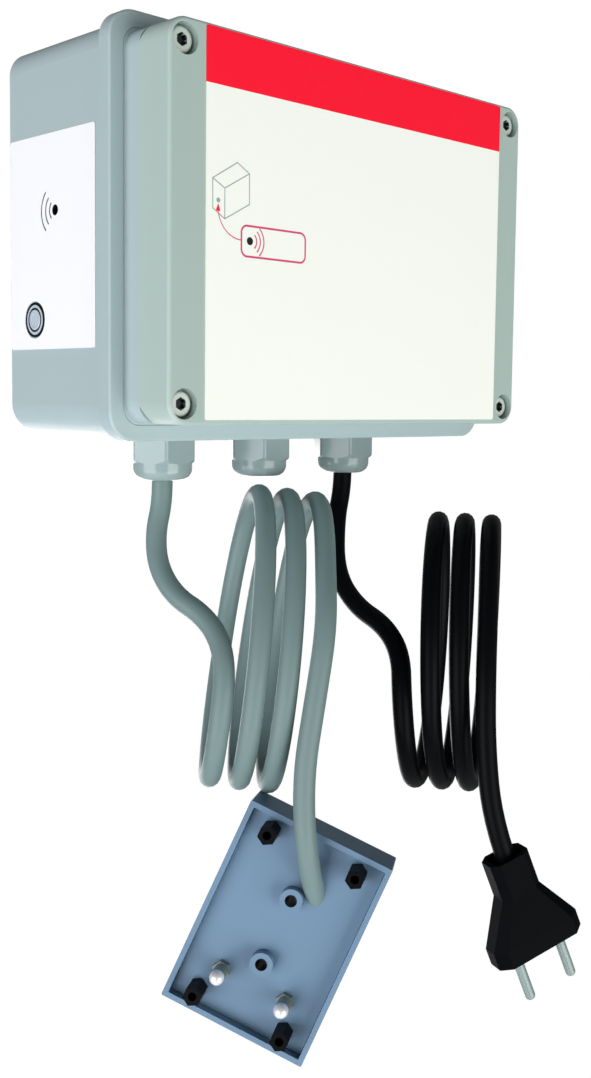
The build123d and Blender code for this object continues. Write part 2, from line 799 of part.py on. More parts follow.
# Terminals along the board's lower edge, one above each gland
entry_level = board_front + terminal_lift
for terminal_name, terminal_x, poles in (
    ("sensor_terminal", -gland_pitch, len(sensor_core_shares)),
    ("relay_terminal", 0, relay_poles),
    ("mains_terminal", gland_pitch, len(mains_core_shares)),
):
    with BuildPart() as terminal:
        with BuildSketch(level(board_front)):
            with Locations((terminal_x, board_foot + terminal_height / 2)):
                Rectangle(poles * terminal_pitch, terminal_height)
        extrude(amount=terminal_depth)
        chamfer(terminal.faces().sort_by(Axis.Y)[0].edges().filter_by(Axis.X), terminal_edge)
        with BuildSketch(level(board_front + terminal_depth)):
            with Locations((terminal_x, board_foot + terminal_height / 2)):
                with GridLocations(terminal_pitch, terminal_pitch, poles, 1):
                    Circle(terminal_screw / 2)
        extrude(amount=-terminal_screw_depth, mode=Mode.SUBTRACT)
        with BuildSketch(level(board_front + terminal_depth - terminal_screw_depth)):
            with Locations((terminal_x, board_foot + terminal_height / 2)):
                with GridLocations(terminal_pitch, terminal_pitch, poles, 1):
                    Rectangle(terminal_screw, terminal_slot)
        extrude(amount=-terminal_slot, mode=Mode.SUBTRACT)
        with BuildSketch(Plane.XY.offset(board_foot)):
            with Locations((terminal_x, -entry_level)):
                with GridLocations(terminal_pitch, terminal_pitch, poles, 1):
                    Circle(terminal_entry / 2)
        extrude(amount=terminal_entry_depth, mode=Mode.SUBTRACT)
    save(terminal, terminal_name)

capacitor_x = transformer_x - core_width / 2 - capacitor_gap - capacitor_diameter / 2
capacitor_z = board_top - capacitor_from_top
with BuildPart() as capacitor:
    with BuildSketch(level(board_front)):
        with Locations((capacitor_x, capacitor_z)):
            Circle(capacitor_diameter / 2)
    extrude(amount=capacitor_height)
    fillet(capacitor.faces().sort_by(Axis.Y)[0].edges(), capacitor_groove)
    with BuildSketch(level(board_front + capacitor_height)):
        with Locations((capacitor_x, capacitor_z)):
            Rectangle(capacitor_diameter / 2, capacitor_groove)
            Rectangle(capacitor_groove, capacitor_diameter / 2)
    extrude(amount=-capacitor_groove / 2, mode=Mode.SUBTRACT)
save(capacitor, "capacitor")

# Control chip on two rows of legs
chip_x = chip_from_left - board_right
chip_z = board_top - chip_from_top
with BuildPart() as control_chip:
    with BuildSketch(level(board_front + chip_stand)):
        with Locations((chip_x, chip_z)):
            Rectangle(chip_width, chip_height)
        with Locations((chip_x - chip_width / 2, chip_z)):
            Circle(chip_notch, mode=Mode.SUBTRACT)
    extrude(amount=chip_depth)
    with BuildSketch(level(board_front)):
        with Locations((chip_x, chip_z)):
            with GridLocations(chip_pitch, chip_height, chip_pins, 2):
                Rectangle(chip_leg_width, chip_leg)
    extrude(amount=chip_stand + chip_depth / 2)
save(control_chip, "control_chip")

# Sensor head: a shallow tray with two bored bosses and a cover as its floor
rim_plane = Plane(origin=sensor_place, x_dir=sensor_across, z_dir=sensor_outward)
floor_plane = rim_plane.offset(-sensor_recess)
cover_back = sensor_recess + cover_thickness
tray_width = sensor_width - 2 * sensor_rim
tray_height = sensor_height - 2 * sensor_rim

with BuildPart() as sensor_housing:
    with BuildSketch(rim_plane.offset(-sensor_depth)):
        RectangleRounded(sensor_width, sensor_height, sensor_corner)
    extrude(amount=sensor_depth)
    with BuildSketch(rim_plane.offset(-cover_back)):
        RectangleRounded(tray_width, tray_height, tray_corner)
    extrude(amount=cover_back, mode=Mode.SUBTRACT)
    with BuildSketch(rim_plane.offset(-sensor_depth + sensor_back)):
        Rectangle(tray_width - 2 * cover_ledge, tray_height - 2 * cover_ledge)
    extrude(amount=sensor_depth - sensor_back - cover_back, mode=Mode.SUBTRACT)
    with BuildSketch(rim_plane.offset(-sensor_depth + sensor_back)):
        with GridLocations(boss_pitch, boss_pitch, 1, 2):
            Circle(boss_diameter / 2)
    extrude(amount=sensor_depth - sensor_back)
    with BuildSketch(rim_plane.offset(-sensor_depth)):
        with GridLocations(boss_pitch, boss_pitch, 1, 2):
            Circle(boss_hole / 2)
    extrude(amount=sensor_depth, mode=Mode.SUBTRACT)
save(sensor_housing, "sensor_housing")

with BuildPart() as sensor_cover:
    with BuildSketch(rim_plane.offset(-cover_back)):
        RectangleRounded(tray_width - 2 * cover_fit, tray_height - 2 * cover_fit, tray_corner)
        with GridLocations(boss_pitch, boss_pitch, 1, 2):
            Circle(boss_diameter / 2 + cover_fit, mode=Mode.SUBTRACT)
        with Locations((electrode_x, electrode_y)):
            with GridLocations(electrode_pitch, electrode_pitch, 2, 1):
                Circle(electrode_stud / 2 + bore_clearance, mode=Mode.SUBTRACT)
    extrude(amount=cover_thickness)
save(sensor_cover, "sensor_cover")

with BuildPart() as spacer_feet:
    with BuildSketch(floor_plane):
        with Locations((0, foot_y)):
            with GridLocations(foot_pitch_x, foot_pitch_y, 2, 2):
                RegularPolygon(foot_flats / 2, 6, major_radius=False, rotation=30)
    extrude(amount=foot_length)
    with BuildSketch(floor_plane.offset(foot_length)):
        with Locations((0, foot_y)):
            with GridLocations(foot_pitch_x, foot_pitch_y, 2, 2):
                Circle(foot_hole / 2)
    extrude(amount=-foot_hole_depth, mode=Mode.SUBTRACT)
save(spacer_feet, "spacer_feet")

stud_back = cover_back + sensor_board_thickness
with BuildPart() as electrodes:
    with BuildSketch(rim_plane.offset(-stud_back)):
        with Locations((electrode_x, electrode_y)):
            with GridLocations(electrode_pitch, electrode_pitch, 2, 1):
                Circle(electrode_stud / 2)
    extrude(amount=stud_back + electrode_rise)
    with BuildSketch(floor_plane.offset(electrode_nut_height)):
        with Locations((electrode_x, electrode_y)):
            with GridLocations(electrode_pitch, electrode_pitch, 2, 1):
                Circle(electrode_dome / 2)
    extrude(amount=sensor_recess - electrode_nut_height + electrode_rise)
    with Locations(rim_plane.offset(electrode_rise)):
        with Locations((electrode_x, electrode_y)):
            with GridLocations(electrode_pitch, electrode_pitch, 2, 1):
                Sphere(electrode_dome / 2)
save(electrodes, "electrodes")

with BuildPart() as electrode_nuts:
    with BuildSketch(floor_plane):
        with Locations((electrode_x, electrode_y)):
            with GridLocations(electrode_pitch, electrode_pitch, 2, 1):
                RegularPolygon(electrode_nut_flats / 2, 6, major_radius=False)
                Circle(electrode_stud / 2 + bore_clearance, mode=Mode.SUBTRACT)
    extrude(amount=electrode_nut_height)
save(electrode_nuts, "electrode_nuts")

with BuildPart() as sensor_board:
    with BuildSketch(rim_plane.offset(-stud_back)):
        Rectangle(tray_width - 2 * cover_ledge - 2 * sensor_board_margin,
                  tray_height - 2 * cover_ledge - 2 * sensor_board_margin)
        with GridLocations(boss_pitch, boss_pitch, 1, 2):
            Circle(boss_diameter / 2 + cover_fit, mode=Mode.SUBTRACT)
        with Locations((electrode_x, electrode_y)):
            with GridLocations(electrode_pitch, electrode_pitch, 2, 1):
                Circle(electrode_stud / 2 + bore_clearance, mode=Mode.SUBTRACT)
    extrude(amount=sensor_board_thickness)
save(sensor_board, "sensor_board")

# Mains plug: a moulded body with chamfered corners, and two round pins with thinner roots
collar_plane = Plane(origin=plug_place, x_dir=plug_across, z_dir=plug_along)
grip_start = plug_collar_length + plug_flare
plug_length = grip_start + plug_grip

with BuildPart() as plug_body:
    with BuildSketch(collar_plane):
        Rectangle(plug_collar_width, plug_collar_depth)
        chamfer(vertices(), plug_collar_chamfer)
    extrude(amount=plug_collar_length)
    with BuildSketch(collar_plane.offset(plug_collar_length)):
        Rectangle(plug_collar_width, plug_collar_depth)
        chamfer(vertices(), plug_collar_chamfer)
    with BuildSketch(collar_plane.offset(grip_start)):
        Rectangle(plug_grip_width, plug_grip_depth)
        chamfer(vertices(), plug_grip_chamfer)
    loft(ruled=True)
    with BuildSketch(collar_plane.offset(grip_start)):
        Rectangle(plug_grip_width, plug_grip_depth)
        chamfer(vertices(), plug_grip_chamfer)
    extrude(amount=plug_grip)
    fillet(plug_body.faces().sort_by(Axis(plug_place, plug_along))[-1].edges(), plug_edge)
    with BuildSketch(collar_plane):
        RectangleRounded(plug_recess_width, plug_recess_depth, plug_recess_corner)
    extrude(amount=plug_recess, mode=Mode.SUBTRACT)
    with BuildSketch(collar_plane.offset(plug_length)):
        with GridLocations(pin_pitch, pin_pitch, 2, 1):
            Circle(pin_root_diameter / 2)
    extrude(amount=-pin_seat, mode=Mode.SUBTRACT)
save(plug_body, "plug_body")

with BuildPart() as plug_pins:
    with BuildSketch(collar_plane.offset(plug_length + pin_root)):
        with GridLocations(pin_pitch, pin_pitch, 2, 1):
            Circle(pin_diameter / 2)
    extrude(amount=pin_length - pin_root)
    fillet(plug_pins.faces().filter_by(GeomType.PLANE).sort_by(Axis(plug_place, plug_along))[-2:]
           .edges(), pin_tip_radius)
    with BuildSketch(collar_plane.offset(plug_length - pin_seat)):
        with GridLocations(pin_pitch, pin_pitch, 2, 1):
            Circle(pin_root_diameter / 2)
    extrude(amount=pin_seat + pin_root)
save(plug_pins, "plug_pins")

# Cable tails: the sheath through each gland, and the cores up to their terminal
sheath_top = underside + wall + locknut_height + thread_end + cable_tail_inside
for cable_name, gland_x, core_shares in (
    ("sensor_cable", -gland_pitch, sensor_core_shares),
    ("mains_cable", gland_pitch, mains_core_shares),
):
    with BuildPart() as tail:
        with BuildSketch(below(dome_bottom, gland_x)):
            Circle(cable_diameter / 2)
        extrude(amount=-(sheath_top - dome_bottom))
        for core_share in core_shares:
            start = Vector(gland_x + core_share * core_pitch, -gland_level,
                           sheath_top - core_diameter)
            mouth = Vector(gland_x + core_share * terminal_pitch, -entry_level,
                           board_foot - core_diameter / 2)
            handle = Vector(0, 0, (mouth.Z - sheath_top) * core_bend_share)
            with BuildLine() as core_line:
                Line(start, start + Vector(0, 0, core_diameter))
                Bezier(start + Vector(0, 0, core_diameter), start + handle, mouth - handle, mouth)
                Line(mouth, mouth + Vector(0, 0, terminal_entry_depth / 2))
            with BuildSketch(Plane(origin=start, z_dir=(0, 0, 1))):
                Circle(core_diameter / 2)
            sweep(path=core_line.wire())
    save(tail, f"{cable_name}_tail")


def bend_radii(points):
    """The radius at each inner point: 0.45 of the shorter run over the tangent of half the turn."""
    runs = [Vector(*b) - Vector(*a) for a, b in zip(points, points[1:])]
    return [
        bend_share * min(first.length, second.length)
        / tan(radians(first.get_angle(second)) / 2)
        for first, second in zip(runs, runs[1:])
    ]


def cable_tube(points):
    """A plain tube along straight runs joined by tangent arcs."""
    with BuildPart() as tube:
        with BuildLine() as route:
            FilletPolyline(*points, radius=bend_radii(points))
        path = route.wire()
        with BuildSketch(Plane(origin=path @ 0, z_dir=path % 0)):
            Circle(cable_diameter / 2)
        sweep(path=path)
    return tube


# Free cables: their tubes, and the band that each coil's turns fill
for tube_name, tube_route in (
    ("sensor_cable_upper", sensor_upper_route),
    ("sensor_cable_lower", sensor_lower_route),
    ("mains_cable_upper", mains_upper_route),
    ("mains_cable_lower", mains_lower_route),
):
    tube = cable_tube(tube_route)
    if tube_name == "sensor_cable_lower":
        with tube:
            split(bisect_by=floor_plane, keep=Keep.TOP)
    save(tube, tube_name)
    print(tube_name, "bend radii", [round(r, 1) for r in bend_radii(tube_route)],
          "volume", round(tube.part.volume))

for coil_name, centre, drift, half_height, half_depth, up, axis in (
    ("sensor_cable_coil", sensor_coil_centre, sensor_coil_drift, sensor_coil_half_height,
     sensor_coil_half_depth, sensor_coil_up, sensor_coil_axis),
    ("mains_cable_coil", mains_coil_centre, mains_coil_drift, mains_coil_half_height,
     mains_coil_half_depth, mains_coil_up, mains_coil_axis),
):
    pitch = Vector(*drift)
    back = Vector(*centre) + pitch * coil_first_turn - pitch.normalized() * (cable_diameter / 2)
    with BuildPart() as coil:
        with BuildSketch(Plane(origin=back, x_dir=up, z_dir=axis)):
            Ellipse(half_height + cable_diameter / 2, half_depth + cable_diameter / 2)
            Ellipse(half_height - cable_diameter / 2, half_depth - cable_diameter / 2,
                    mode=Mode.SUBTRACT)
        extrude(amount=coil_turns * pitch.length + cable_diameter, dir=pitch.normalized())
    save(coil, coil_name)
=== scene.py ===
# %% [markdown]
# # Flood detection module
#
# A grey control enclosure hangs on a wall. A grey cable runs from it to a sensor head, and a black
# mains lead ends in a plug. Both cables are still coiled, as they come from the box.
#
# The solid shapes come from the CAD frame. This lesson adds what CAD leaves plain: the finishes,
# the print on the labels and the two cables as smooth curves.

from math import cos, pi, sin

import bpy
from mathutils import Matrix, Vector


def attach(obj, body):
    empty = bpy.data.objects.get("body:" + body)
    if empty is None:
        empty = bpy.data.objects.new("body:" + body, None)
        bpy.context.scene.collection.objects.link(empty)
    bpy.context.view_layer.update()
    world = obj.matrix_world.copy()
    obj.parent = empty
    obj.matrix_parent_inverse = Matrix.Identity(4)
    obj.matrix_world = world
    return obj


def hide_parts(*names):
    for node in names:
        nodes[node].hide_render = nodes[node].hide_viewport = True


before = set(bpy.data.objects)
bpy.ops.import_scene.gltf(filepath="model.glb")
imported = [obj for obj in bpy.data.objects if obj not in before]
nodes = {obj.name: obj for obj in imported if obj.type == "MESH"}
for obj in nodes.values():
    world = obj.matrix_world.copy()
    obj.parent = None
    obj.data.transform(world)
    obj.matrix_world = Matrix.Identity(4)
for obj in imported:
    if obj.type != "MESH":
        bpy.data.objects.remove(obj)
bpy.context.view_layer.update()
print("CAD pieces:", len(nodes))

# %% [markdown]
# ## Units and colours
#
# Sizes below are easier to read in millimetres, so one scale value turns them into metres. Colours
# are written as they look on a screen, from 0 to 255, and are turned into the linear values that
# light needs.

# %% Units and colours
MM = 0.001


def colour(red, green, blue):
    """Linear RGBA from screen values."""
    shares = [value / 255 for value in (red, green, blue)]
    return [s / 12.92 if s <= 0.04045 else ((s + 0.055) / 1.055) ** 2.4 for s in shares] + [1.0]


HOUSING = colour(166, 185, 188)
LID = colour(167, 187, 181)
PAPER = colour(247, 250, 243)
SIDE_PAPER = colour(241, 244, 246)
RED = colour(255, 18, 50)
MAGENTA = colour(214, 70, 118)
INK = colour(24, 30, 36)
PALE_INK = colour(150, 168, 168)
GLAND = colour(141, 160, 160)
SENSOR = colour(105, 134, 160)
CABLE_GREY = colour(110, 132, 132)
CABLE_BLACK = colour(6, 8, 11)
BLACK = colour(9, 11, 14)
PIN = colour(134, 152, 150)
BRIGHT = colour(232, 236, 240)
NUT = colour(122, 134, 130)
SCREW = colour(204, 214, 207)
# Painted shade: the dark in the screw sockets, on their flanks and in the gap round the button's cap
PAINTED_SHADE = colour(22, 32, 36)
# Painted shade: the dark inside the sensor head's bores and the buzzer's port
BORE_SHADE = colour(10, 14, 18)
BUTTON = colour(198, 212, 224)
BOARD = colour(38, 104, 64)
COPPER = colour(196, 132, 72)
CORE = colour(92, 94, 98)
RELAY = colour(52, 92, 150)
TERMINAL = colour(60, 126, 84)
GLASS = colour(222, 228, 228)
WHITE = colour(255, 255, 255)
print("lid colour:", [round(value, 3) for value in LID])

# %% [markdown]
# ## Arithmetic on shader sockets
#
# A printed label, a grain or a worn edge is a formula over the surface. Written node by node, such
# a formula is hard to read, so a small class wraps a socket and lets Python's own signs build the
# maths nodes.


# %% Shader values
class Shade:
    """A number or colour somewhere in a material's node tree."""

    def __init__(self, tree, socket):
        self.tree = tree
        self.socket = socket

    def node(self, kind, inputs=None, output=0, **settings):
        """Any other node: inputs by name or number, settings by name."""
        made = self.tree.nodes.new(kind)
        for name, value in settings.items():
            setattr(made, name, value)
        for name, value in (inputs or {}).items():
            connect(self.tree, value, made.inputs[name])
        return Shade(self.tree, made.outputs[output])

    def math(self, operation, other=None, swap=False):
        """A maths node on this value and another."""
        pair = [self] if other is None else [self, other]
        if swap:
            pair.reverse()
        return self.node("ShaderNodeMath", dict(enumerate(pair)), operation=operation)

    def __add__(self, other): return self.math("ADD", other)
    def __radd__(self, other): return self.math("ADD", other, swap=True)
    def __sub__(self, other): return self.math("SUBTRACT", other)
    def __rsub__(self, other): return self.math("SUBTRACT", other, swap=True)
    def __mul__(self, other): return self.math("MULTIPLY", other)
    def __rmul__(self, other): return self.math("MULTIPLY", other, swap=True)
    def __truediv__(self, other): return self.math("DIVIDE", other)
    def __rtruediv__(self, other): return self.math("DIVIDE", other, swap=True)
    def __lt__(self, other): return self.math("LESS_THAN", other)
    def __gt__(self, other): return self.math("GREATER_THAN", other)
    def smaller(self, other): return self.math("MINIMUM", other)
    def larger(self, other): return self.math("MAXIMUM", other)

    def clamped(self):
        """The value kept between 0 and 1."""
        return self.smaller(1.0).larger(0.0)

    def length(self, other):
        """The length of a flat vector with this value and another as its parts."""
        return (self * self + other * other).math("SQRT")

    def over(self, ink, paper):
        """A colour mix: the ink where this value is 1, the paper where it is 0."""
        mixed = self.tree.nodes.new("ShaderNodeMix")
        mixed.data_type = "RGBA"
        connect(self.tree, self, mixed.inputs["Factor"])
        connect(self.tree, paper, mixed.inputs[6])
        connect(self.tree, ink, mixed.inputs[7])
        return Shade(self.tree, mixed.outputs[2])


def connect(tree, value, socket):
    """Links a Shade to a socket, or sets the socket to a plain value."""
    if isinstance(value, Shade):
        tree.links.new(value.socket, socket)
    else:
        socket.default_value = value


print("shader helper ready:", Shade.__name__)

# %% [markdown]
# ## One finish for each material
#
# Every finish here is one Principled BSDF. A moulded plastic has a fine grain, which a small noise
# gives as a bump, and its gloss changes a little from place to place. The grain is measured in the
# object's own coordinates, so it has the same size on every piece.


# %% Finishes
CLOUDS_A_METRE = 60.0


def place(tree):
    """The object coordinates, as three values in metres."""
    coordinates = Shade(tree, tree.nodes.new("ShaderNodeTexCoord").outputs["Object"])
    split = coordinates.node("ShaderNodeSeparateXYZ", {0: coordinates}).socket.node
    return coordinates, [Shade(tree, output) for output in split.outputs]


def finish(name, base, roughness, metallic=0.0, coat=0.0, grain=0.0, grain_size=0.5, wear=0.04,
           specular=0.5):
    """A material with one Principled BSDF, a fine bump and a gloss that varies slightly."""
    material = bpy.data.materials.new(name)
    material.use_nodes = True
    tree = material.node_tree
    surface = tree.nodes["Principled BSDF"]
    surface.inputs["Base Color"].default_value = base
    surface.inputs["Metallic"].default_value = metallic
    surface.inputs["Coat Weight"].default_value = coat
    surface.inputs["Specular IOR Level"].default_value = specular
    coordinates, parts = place(tree)
    cloud = coordinates.node("ShaderNodeTexNoise", {"Vector": coordinates, "Scale": CLOUDS_A_METRE})
    connect(tree, roughness + (cloud - 0.5) * wear, surface.inputs["Roughness"])
    if grain:
        pebbles = coordinates.node(
            "ShaderNodeTexNoise",
            {"Vector": coordinates, "Scale": 1 / (grain_size * MM), "Detail": 1.0},
        )
        bump = coordinates.node(
            "ShaderNodeBump", {"Height": pebbles, "Strength": 1.0, "Distance": grain * MM}
        )
        connect(tree, bump, surface.inputs["Normal"])
    material.diffuse_color = base
    return material


housing_finish = finish("housing plastic", HOUSING, 0.46, grain=0.004, grain_size=0.45)
lid_finish = finish("lid plastic", LID, 0.44, grain=0.004, grain_size=0.45)
gland_finish = finish("gland polyamide", GLAND, 0.16, specular=0.5)
sensor_finish = finish("sensor plastic", SENSOR, 0.42, grain=0.003, specular=0.25)
black_finish = finish("black plastic", BLACK, 0.4, specular=0.05)
plug_finish = finish("plug rubber", CABLE_BLACK, 0.5, grain=0.006, grain_size=0.6, specular=0.02)
pin_finish = finish("pin metal", PIN, 0.45, metallic=0.2)
nut_finish = finish("nut steel", NUT, 0.42, metallic=0.4)
bright_finish = finish("plated contact", BRIGHT, 0.26, metallic=0.35)
screw_finish = finish("screw steel", SCREW, 0.42, metallic=0.25)
button_finish = finish("button metal", BUTTON, 0.4, metallic=0.3)
seal_finish = finish("black seal", BLACK, 0.62, specular=0.15)
board_finish = finish("circuit board", BOARD, 0.36, coat=0.2)
core_finish = finish("core laminations", CORE, 0.4, metallic=0.7)
copper_finish = finish("winding", COPPER, 0.4)
relay_finish = finish("relay case", RELAY, 0.36)
terminal_finish = finish("terminal plastic", TERMINAL, 0.42)
glass_finish = finish("fuse glass", GLASS, 0.08)
print("finishes:", len(bpy.data.materials))

# %% [markdown]
# ## Who wears what
#
# The CAD pieces already have the right shape, so each one only gets its finish, by name.

# %% Dress the CAD pieces
wardrobe = {
    housing_finish: ["rear_box", "front_frame"],
    lid_finish: ["lid"],
    gland_finish: [f"{gland}_gland_{piece}" for gland in ("sensor", "spare", "mains")
                   for piece in ("body", "locknut", "dome_nut")] + ["spare_gland_plug"],
    seal_finish: [f"{gland}_gland_seal" for gland in ("sensor", "spare", "mains")]
    + ["lid_gasket", "button_seal"],
    screw_finish: ["lid_screws", "board_screws"],
    pin_finish: ["plug_pins"],
    nut_finish: ["electrode_nuts"],
    bright_finish: ["electrodes", "fuse_clips"],
    sensor_finish: ["sensor_housing", "sensor_cover"],
    black_finish: ["spacer_feet", "button_nut", "button_switch", "alarm_buzzer", "fuse_base",
                   "capacitor", "control_chip"],
    button_finish: ["button_bezel", "button_cap"],
    plug_finish: ["plug_body"],
    board_finish: ["main_board", "sensor_board"],
    core_finish: ["transformer_core"],
    copper_finish: ["transformer_bobbin"],
    relay_finish: ["alarm_relay"],
    terminal_finish: ["sensor_terminal", "relay_terminal", "mains_terminal"],
    glass_finish: ["fuse"],
}


def dress(name, material):
    """Gives a CAD piece one material."""
    for material_slot in nodes[name].material_slots:
        material_slot.material = material


for material, names in wardrobe.items():
    for name in names:
        dress(name, material)
print("dressed:", sum(len(names) for names in wardrobe.values()))

# %% [markdown]
# ## Painted shade over a piece
#
# A few small things show as painted shade, in colour alone. The lid screws get dark hexagon sockets
# and flanks that are painted darker, the sensor head's bores are painted dark where little light
# reaches, the studs are painted in shade below their bright ends, and a painted shade line runs
# round the button's cap. Each is a formula in millimetres that mixes a second colour into the
# finish, so no piece needs a second material.


# %% Repainting
def repaint(material, shade):
    """Changes a finish's colour from place to place: shade(tree, x, y, z, base) in millimetres."""
    tree = material.node_tree
    base_socket = tree.nodes["Principled BSDF"].inputs["Base Color"]
    coordinates, parts = place(tree)
    x, y, z = [part / MM for part in parts]
    connect(tree, shade(x, y, z, tuple(base_socket.default_value)), base_socket)


# %% Small places in painted shade
# Where the lid screws stand from the middle, half the hexagon in their heads, and where the
# painted shade on their flanks starts, how wide it grows and how dark it gets
SCREW_X, SCREW_Z = 83.1, 58.0
HEXAGON = 1.95
FLANK_START, FLANK_WIDTH, FLANK_SHADE = 3.1, 1.6, 0.6
# The sensor head: the middle of its rim, the way up it, and the way out of it
RIM_CENTRE = (-35.9, -86.6, -252.2)
RIM_UP = (0.3225, -0.2532, 0.9121)
RIM_OUT = (-0.7766, -0.6217, 0.1019)
BORE_PITCH, BORE_RADIUS = 26.14, 2.3
# Where a stud's bright end starts in front of the rim, with painted shade below it, and a height
# that only the head lies under
STUD_END, SENSOR_REACH = 4.4, 60.0
# The button's middle, the radius of the gap round its cap, and half the width of the painted
# shade line there
CAP_CENTRE, CAP_RADIUS, GROOVE = (-17.8, -29.0), 4.0, 0.36


def along(x, y, z, start, way):
    """How far a point lies from a start along a direction."""
    return (x - start[0]) * way[0] + (y - start[1]) * way[1] + (z - start[2]) * way[2]


def screw_head_shade(x, y, z, base):
    """Painted shade: a dark hexagon socket in each head, and a head that darkens towards its edge."""
    across = (x.math("ABSOLUTE") - SCREW_X).math("ABSOLUTE")
    upwards = (z.math("ABSOLUTE") - SCREW_Z).math("ABSOLUTE")
    hexagon = across.larger(across * cos(pi / 3) + upwards * sin(pi / 3)) < HEXAGON
    flank_shade = ((across.length(upwards) - FLANK_START) / FLANK_WIDTH).clamped() * FLANK_SHADE
    return hexagon.over(PAINTED_SHADE, flank_shade.over(PAINTED_SHADE, base))


def to_nearer_bore(point):
    """Distance to the nearer bore's axis."""
    up = along(*point, RIM_CENTRE, RIM_UP)
    out = along(*point, RIM_CENTRE, RIM_OUT)
    x, y, z = [value - start for value, start in zip(point, RIM_CENTRE)]
    whole = x * x + y * y + z * z
    beside = (whole - up * up - out * out).larger(0.0).math("SQRT")
    return beside.length(up.math("ABSOLUTE") - BORE_PITCH / 2)


def sensor_bore_shade(x, y, z, base):
    """Painted shade on the walls of the two bores."""
    return (to_nearer_bore((x, y, z)) < BORE_RADIUS).over(BORE_SHADE, base)


def stud_shade(x, y, z, base):
    """Painted shade on each stud below the electrode's bright end, in the nut's colour."""
    beyond = along(x, y, z, RIM_CENTRE, RIM_OUT) - STUD_END
    return ((z < RIM_CENTRE[2] + SENSOR_REACH) * (beyond < 0.0)).over(NUT, base)


def cap_groove_shade(x, y, z, base):
    """Painted shade: a dark line in the narrow gap between the button's cap and its bezel."""
    line = ((y - CAP_CENTRE[0]).length(z - CAP_CENTRE[1]) - CAP_RADIUS).math("ABSOLUTE")
    return (line < GROOVE).over(PAINTED_SHADE, base)


# Painted shade on the screw heads, in the sensor bores, round the button's cap and on the studs
repaint(screw_finish, screw_head_shade)
repaint(sensor_finish, sensor_bore_shade)
repaint(button_finish, cap_groove_shade)
repaint(bright_finish, stud_shade)
print("repainted:", screw_finish.name, sensor_finish.name, button_finish.name, bright_finish.name)

# %% [markdown]
# ## Drawing with distances
#
# Print on a label is flat ink, so it needs no geometry. For each shape a formula gives the distance
# from the point being shaded to the shape's line, and ink lies where that distance is under half
# the line's width.


# %% Distances to lines, arcs and frames
def to_line(x, z, start, end):
    """Distance from a point on the label to a straight line."""
    run = (end[0] - start[0], end[1] - start[1])
    across = x - start[0]
    upwards = z - start[1]
    share = ((across * run[0] + upwards * run[1]) / (run[0] ** 2 + run[1] ** 2)).clamped()
    return (across - share * run[0]).length(upwards - share * run[1])


def to_circle(x, z, centre, radius):
    """Distance from a point to a circle's line."""
    return ((x - centre[0]).length(z - centre[1]) - radius).math("ABSOLUTE")


def to_frame(x, z, centre, width, height, corner):
    """Distance from a point to a rounded rectangle's line."""
    over_x = (x - centre[0]).math("ABSOLUTE") - (width / 2 - corner)
    over_z = (z - centre[1]).math("ABSOLUTE") - (height / 2 - corner)
    outside = over_x.larger(0.0).length(over_z.larger(0.0))
    return (outside + over_x.larger(over_z).smaller(0.0) - corner).math("ABSOLUTE")


def nearest(distances):
    """The smallest of several distances."""
    least = distances[0]
    for distance in distances[1:]:
        least = least.smaller(distance)
    return least


print("shapes: line, circle, frame")

# %% [markdown]
# ## The front label
#
# The lid carries a pale printed sheet with a red band along its top. A small drawing explains the
# push button: a box seen from its corner, a rounded frame with a sound symbol, and an arrow from
# the frame to the box's side.

# %% Front label
BAND_BOTTOM = 46.0
BOX_LINES = [
    ((-72.2, 15.8), (-61.8, 22.1)), ((-61.8, 22.1), (-56.6, 19.1)), ((-56.6, 19.1), (-67.1, 13.1)),
    ((-67.1, 13.1), (-72.2, 15.8)), ((-72.2, 15.8), (-72.1, 6.1)), ((-67.1, 13.1), (-67.1, 3.1)),
    ((-56.6, 19.1), (-56.5, 9.0)), ((-72.1, 6.1), (-67.1, 3.1)), ((-67.1, 3.1), (-56.5, 9.0)),
]
SYMBOL_CENTRE = (-56.2, -3.1)
SYMBOL_ARCS = (3.0, 4.6, 6.2)
SYMBOL_FRAME = ((-45.4, -3.2), 29.0, 10.2, 2.4)
ARROW_CENTRE = (-60.0, 6.9)
ARROW_RADIUS = 10.0
ARROW_TIP = (-69.9, 8.0)
ARROW_HEAD = (2.6, 1.0)
BOX_SPOT = (-69.8, 8.9)
SPOT_RADIUS, DOT_RADIUS = 0.8, 1.35
THIN_LINE, FRAME_LINE, ARC_LINE = 0.2, 0.36, 0.26
# The arcs start this far beside their centre, and spread this steeply from it
ARC_START, ARC_SPREAD = 1.0, 1.1


def sheet_material(name, paper, draw):
    """A printed sheet: draw(x, y, z) in millimetres lists its inks, as (where, colour) pairs."""
    material = finish(name, paper, 0.4, specular=0.25)
    tree = material.node_tree
    coordinates, parts = place(tree)
    shown = paper
    for where, ink in draw(*[part / MM for part in parts]):
        shown = where.over(ink, shown)
    connect(tree, shown, tree.nodes["Principled BSDF"].inputs["Base Color"])
    return material


def beside(across, upwards):
    """A wedge that opens away from a sound symbol's centre."""
    return (across > ARC_START) * (upwards.math("ABSOLUTE") < across * ARC_SPREAD)


